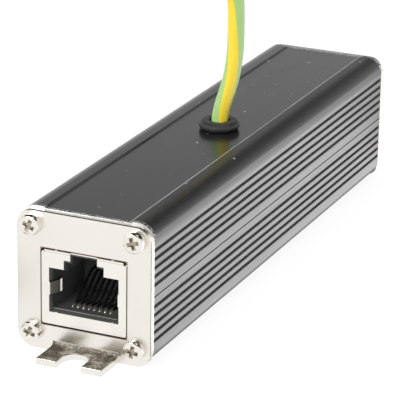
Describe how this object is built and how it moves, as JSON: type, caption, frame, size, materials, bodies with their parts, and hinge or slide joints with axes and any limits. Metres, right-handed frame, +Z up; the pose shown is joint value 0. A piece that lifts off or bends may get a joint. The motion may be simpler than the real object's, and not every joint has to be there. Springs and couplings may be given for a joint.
{
  "type": "ethernet surge protector",
  "caption": "Small black extruded case with a modular jack in each plated end plate, slotted foot tabs, and an earth lead that leaves the top through a grommet and ends in a ring terminal.",
  "frame": {"origin": "middle of the base, level with the underside of the end plates and their tabs", "axes": "+Z up, the front jack faces -Y, the rear jack faces +Y, and the earth lead leaves the top face"},
  "size_m": [0.0435, 0.1456, 0.0698],
  "materials": {
    "case": "black anodised, satin",
    "plate": "nickel plated, satin",
    "screw": "nickel plated",
    "shield": "tinned sheet",
    "housing": "moulded",
    "contact": "gold plated",
    "board": "glass laminate with a green mask",
    "gas_tube": "plated rings on a pale body",
    "suppressor": "moulded",
    "solder": "bright solder",
    "grommet": "matte",
    "insulation": "yellow with a green stripe, satin",
    "sleeve": "shrunk sleeve",
    "terminal": "tinned"
  },
  "bodies": {
    "root": {"case_top": "case", "case_bottom": "case", "front_plate": "plate", "rear_plate": "plate", "front_screws": "screw", "rear_screws": "screw", "front_jack_shield": "shield", "front_jack_housing": "housing", "front_jack_contacts": "contact", "rear_jack_shield": "shield", "rear_jack_housing": "housing", "rear_jack_contacts": "contact", "circuit_board": "board", "gas_tube_1": "gas_tube", "gas_tube_2": "gas_tube", "gas_tube_3": "gas_tube", "gas_tube_4": "gas_tube", "suppressor_1": "suppressor", "suppressor_2": "suppressor", "suppressor_3": "suppressor", "suppressor_4": "suppressor", "earth_solder": "solder", "cable_grommet": "grommet", "earth_wire": "insulation", "terminal_sleeve": "sleeve", "ring_terminal": "terminal"}
  },
  "joints": []
}
